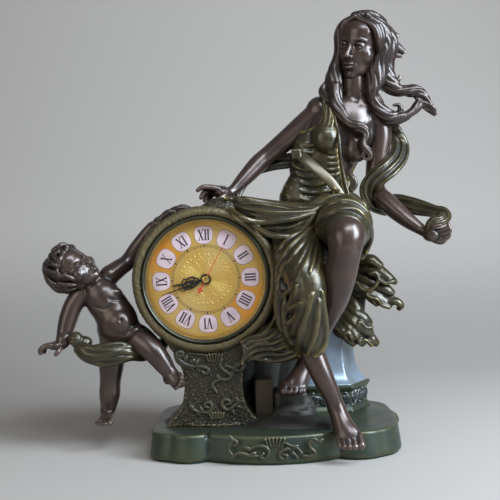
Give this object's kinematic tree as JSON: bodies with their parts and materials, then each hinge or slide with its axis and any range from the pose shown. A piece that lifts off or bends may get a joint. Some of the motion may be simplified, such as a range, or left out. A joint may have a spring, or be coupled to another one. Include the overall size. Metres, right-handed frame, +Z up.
{
  "type": "figural mantel clock",
  "caption": "Bronze-look cast figural mantel clock: a seated draped woman and a putto beside a drum on a waisted pedestal, with domed gilt dial and quartz hands.",
  "frame": {"origin": "centre of the base's resting face", "axes": "+Z up, the dial faces -Y, +X to the right as seen from the front"},
  "size_m": [0.4034, 0.1871, 0.4333],
  "materials": {
    "skin_bronze": "bronze-coloured cast resin, satin, waxed dark brown",
    "drapery_bronze": "bronze-coloured cast resin, dark olive with gilt rubbed folds",
    "hair_bronze": "bronze-coloured cast resin, dark brown",
    "dark_patina": "blackish green patina on cast resin, satin",
    "stippled_bronze": "dark brown stippled cast resin with gilt flecks",
    "felt": "matt felt",
    "steel": "bright",
    "gilt_dial": "satin gilt",
    "clear_glass": "clear, domed",
    "bezel_metal": "black satin lacquer",
    "nickelled_brass": "bright",
    "rubber": "matt",
    "black_hand": "black satin",
    "red_hand": "red satin",
    "gear_plastic": "moulded acetal",
    "black_plastic": "moulded, fine texture",
    "copper_wire": "enamelled copper",
    "board": "green laminate",
    "cell_jacket": "plain grey jacket"
  },
  "bodies": {
    "case": {"woman_torso": "skin_bronze", "woman_head": "skin_bronze", "woman_right_arm": "skin_bronze", "woman_left_arm": "skin_bronze", "woman_left_leg": "skin_bronze", "woman_right_leg": "skin_bronze", "putto_torso": "skin_bronze", "putto_head": "skin_bronze", "putto_right_arm": "skin_bronze", "putto_left_arm": "skin_bronze", "putto_right_leg": "skin_bronze", "putto_left_leg": "skin_bronze", "dress_bodice": "drapery_bronze", "woman_skirt": "drapery_bronze", "lap_swag": "drapery_bronze", "sleeve_drape": "drapery_bronze", "arm_scarf": "drapery_bronze", "back_ruffles": "drapery_bronze", "putto_drape": "drapery_bronze", "woman_hair": "hair_bronze", "base_casting": "dark_patina", "seat_plinth": "dark_patina", "seat_column": "dark_patina", "foot_steps": "dark_patina", "clock_drum": "stippled_bronze", "drum_crest": "stippled_bronze", "clock_pedestal": "stippled_bronze", "base_felt": "felt", "putto_dowels": "steel", "shoulder_dowels": "steel", "stator": "steel", "dial_plate": "gilt_dial", "reflector_ring": "gilt_dial", "dial_lens": "clear_glass", "bezel": "bezel_metal", "dial_nut": "nickelled_brass", "threaded_bush": "nickelled_brass", "battery_contacts": "nickelled_brass", "rubber_washer": "rubber", "movement_plate": "black_plastic", "movement_case": "black_plastic", "coil_bobbin": "gear_plastic", "coil_winding": "copper_wire", "circuit_board": "board", "quartz_crystal": "steel"},
    "second_hand": {"second_hand": "red_hand", "second_wheel": "gear_plastic"},
    "third_wheel": {"third_wheel": "gear_plastic"},
    "centre_wheel": {"centre_wheel": "gear_plastic"},
    "fifth_wheel": {"fifth_wheel": "gear_plastic"},
    "rotor": {"rotor": "gear_plastic"},
    "minute_hand": {"minute_hand": "black_hand", "cannon_pinion": "gear_plastic"},
    "motion_wheel": {"motion_wheel": "gear_plastic"},
    "hour_hand": {"hour_hand": "black_hand", "hour_wheel": "gear_plastic"},
    "setting_knob": {"setting_knob": "black_plastic"},
    "battery": {"battery": "cell_jacket"}
  },
  "joints": [
    {"name": "second_hand_spin", "type": "hinge", "parent": "case", "child": "second_hand", "pos_m": [-0.066, -0.024, 0.166], "axis": [0, 1, 0], "continuous": true},
    {"name": "third_wheel_spin", "type": "hinge", "parent": "case", "child": "third_wheel", "pos_m": [-0.0558, -0.024, 0.166], "axis": [0, 1, 0], "continuous": true},
    {"name": "centre_wheel_spin", "type": "hinge", "parent": "case", "child": "centre_wheel", "pos_m": [-0.066, -0.024, 0.166], "axis": [0, 1, 0], "continuous": true},
    {"name": "fifth_wheel_spin", "type": "hinge", "parent": "case", "child": "fifth_wheel", "pos_m": [-0.066, -0.024, 0.1765], "axis": [0, 1, 0], "continuous": true},
    {"name": "rotor_spin", "type": "hinge", "parent": "case", "child": "rotor", "pos_m": [-0.07379, -0.024, 0.181], "axis": [0, 1, 0], "continuous": true},
    {"name": "minute_hand_spin", "type": "hinge", "parent": "case", "child": "minute_hand", "pos_m": [-0.066, -0.024, 0.166], "axis": [0, 1, 0], "continuous": true},
    {"name": "motion_wheel_spin", "type": "hinge", "parent": "case", "child": "motion_wheel", "pos_m": [-0.0732, -0.024, 0.166], "axis": [0, 1, 0], "continuous": true},
    {"name": "hour_hand_spin", "type": "hinge", "parent": "case", "child": "hour_hand", "pos_m": [-0.066, -0.024, 0.166], "axis": [0, 1, 0], "continuous": true},
    {"name": "setting_knob_spin", "type": "hinge", "parent": "case", "child": "setting_knob", "pos_m": [-0.07829, -0.024, 0.17109], "axis": [0, 1, 0], "continuous": true},
    {"name": "battery_slide", "type": "slide", "parent": "case", "child": "battery", "axis": [0, 1, 0], "range_m": [0, 0.03]}
  ],
  "couplings": [
    {"joint": "third_wheel_spin", "follows": "second_hand_spin", "ratio": -0.13333},
    {"joint": "centre_wheel_spin", "follows": "second_hand_spin", "ratio": 0.016667},
    {"joint": "fifth_wheel_spin", "follows": "second_hand_spin", "ratio": -6},
    {"joint": "rotor_spin", "follows": "second_hand_spin", "ratio": 30},
    {"joint": "motion_wheel_spin", "follows": "minute_hand_spin", "ratio": -0.33333},
    {"joint": "hour_hand_spin", "follows": "minute_hand_spin", "ratio": 0.083333},
    {"joint": "setting_knob_spin", "follows": "minute_hand_spin", "ratio": 1}
  ]
}
